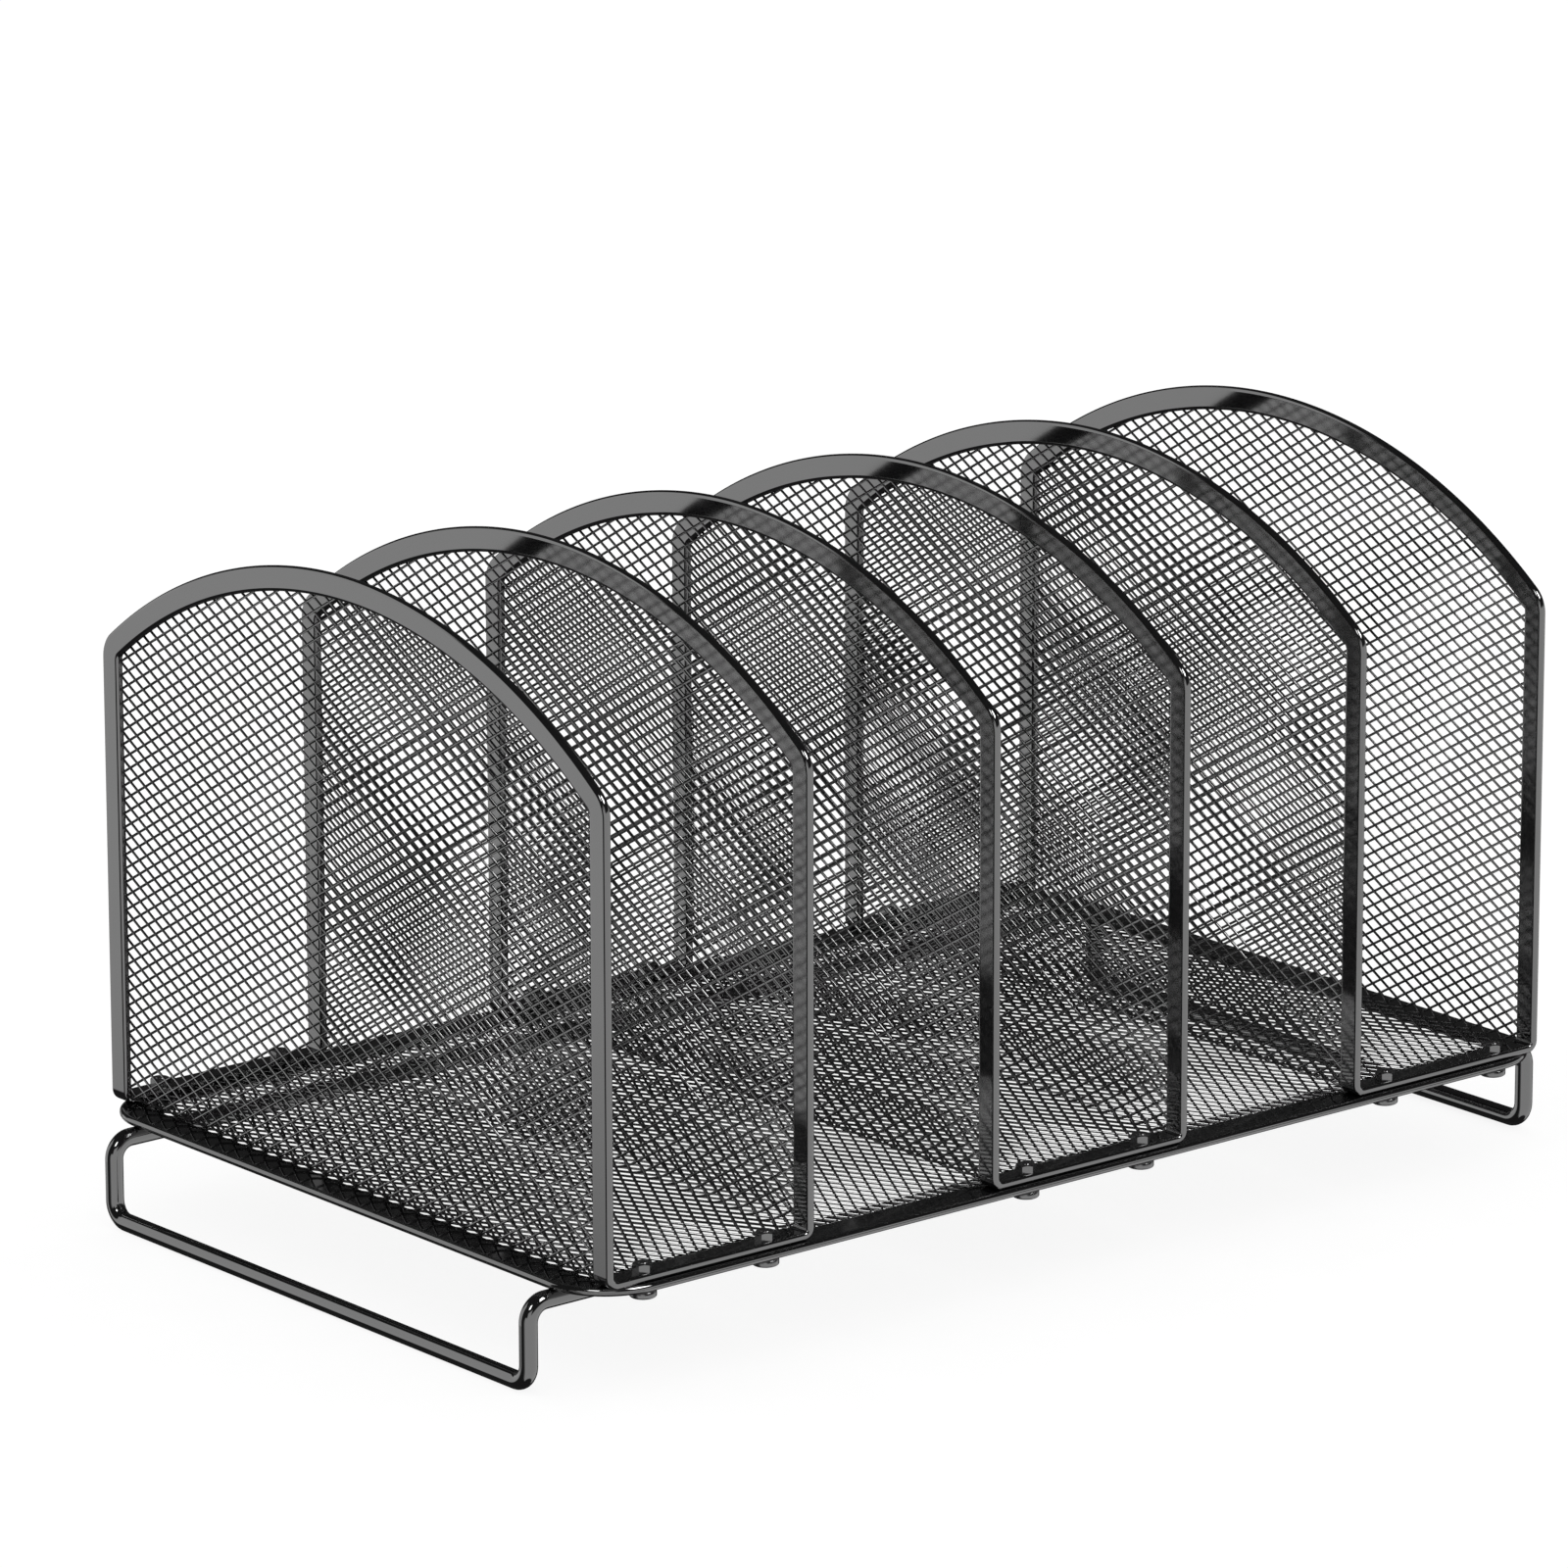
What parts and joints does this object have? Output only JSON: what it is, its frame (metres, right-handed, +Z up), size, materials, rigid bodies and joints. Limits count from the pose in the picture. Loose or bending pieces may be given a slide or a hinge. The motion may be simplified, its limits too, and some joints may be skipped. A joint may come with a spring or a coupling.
{
  "type": "desktop file sorter",
  "caption": "Steel mesh file sorter: U-shaped compartments with arched walls, screwed in a row to a rimmed mesh base on a bent round-rod stand.",
  "frame": {"origin": "on the desk under the middle of the sorter", "axes": "+X along the row of compartments, +Y across it, +Z up; the two ends and the two open sides are alike"},
  "size_m": [0.4048, 0.248, 0.2222],
  "materials": {
    "black_rod": "gloss black",
    "black_strip": "gloss black",
    "black_mesh": "gloss black",
    "black_fastener": "semi-gloss black"
  },
  "bodies": {
    "root": {"stand": "black_rod", "base_rim": "black_strip", "base_mesh": "black_mesh", "unit_1_frame": "black_strip", "unit_1_mesh": "black_mesh", "unit_1_screws": "black_fastener", "unit_1_nuts": "black_fastener", "unit_2_frame": "black_strip", "unit_2_mesh": "black_mesh", "unit_2_screws": "black_fastener", "unit_2_nuts": "black_fastener", "unit_3_frame": "black_strip", "unit_3_mesh": "black_mesh", "unit_3_screws": "black_fastener", "unit_3_nuts": "black_fastener"}
  },
  "joints": []
}
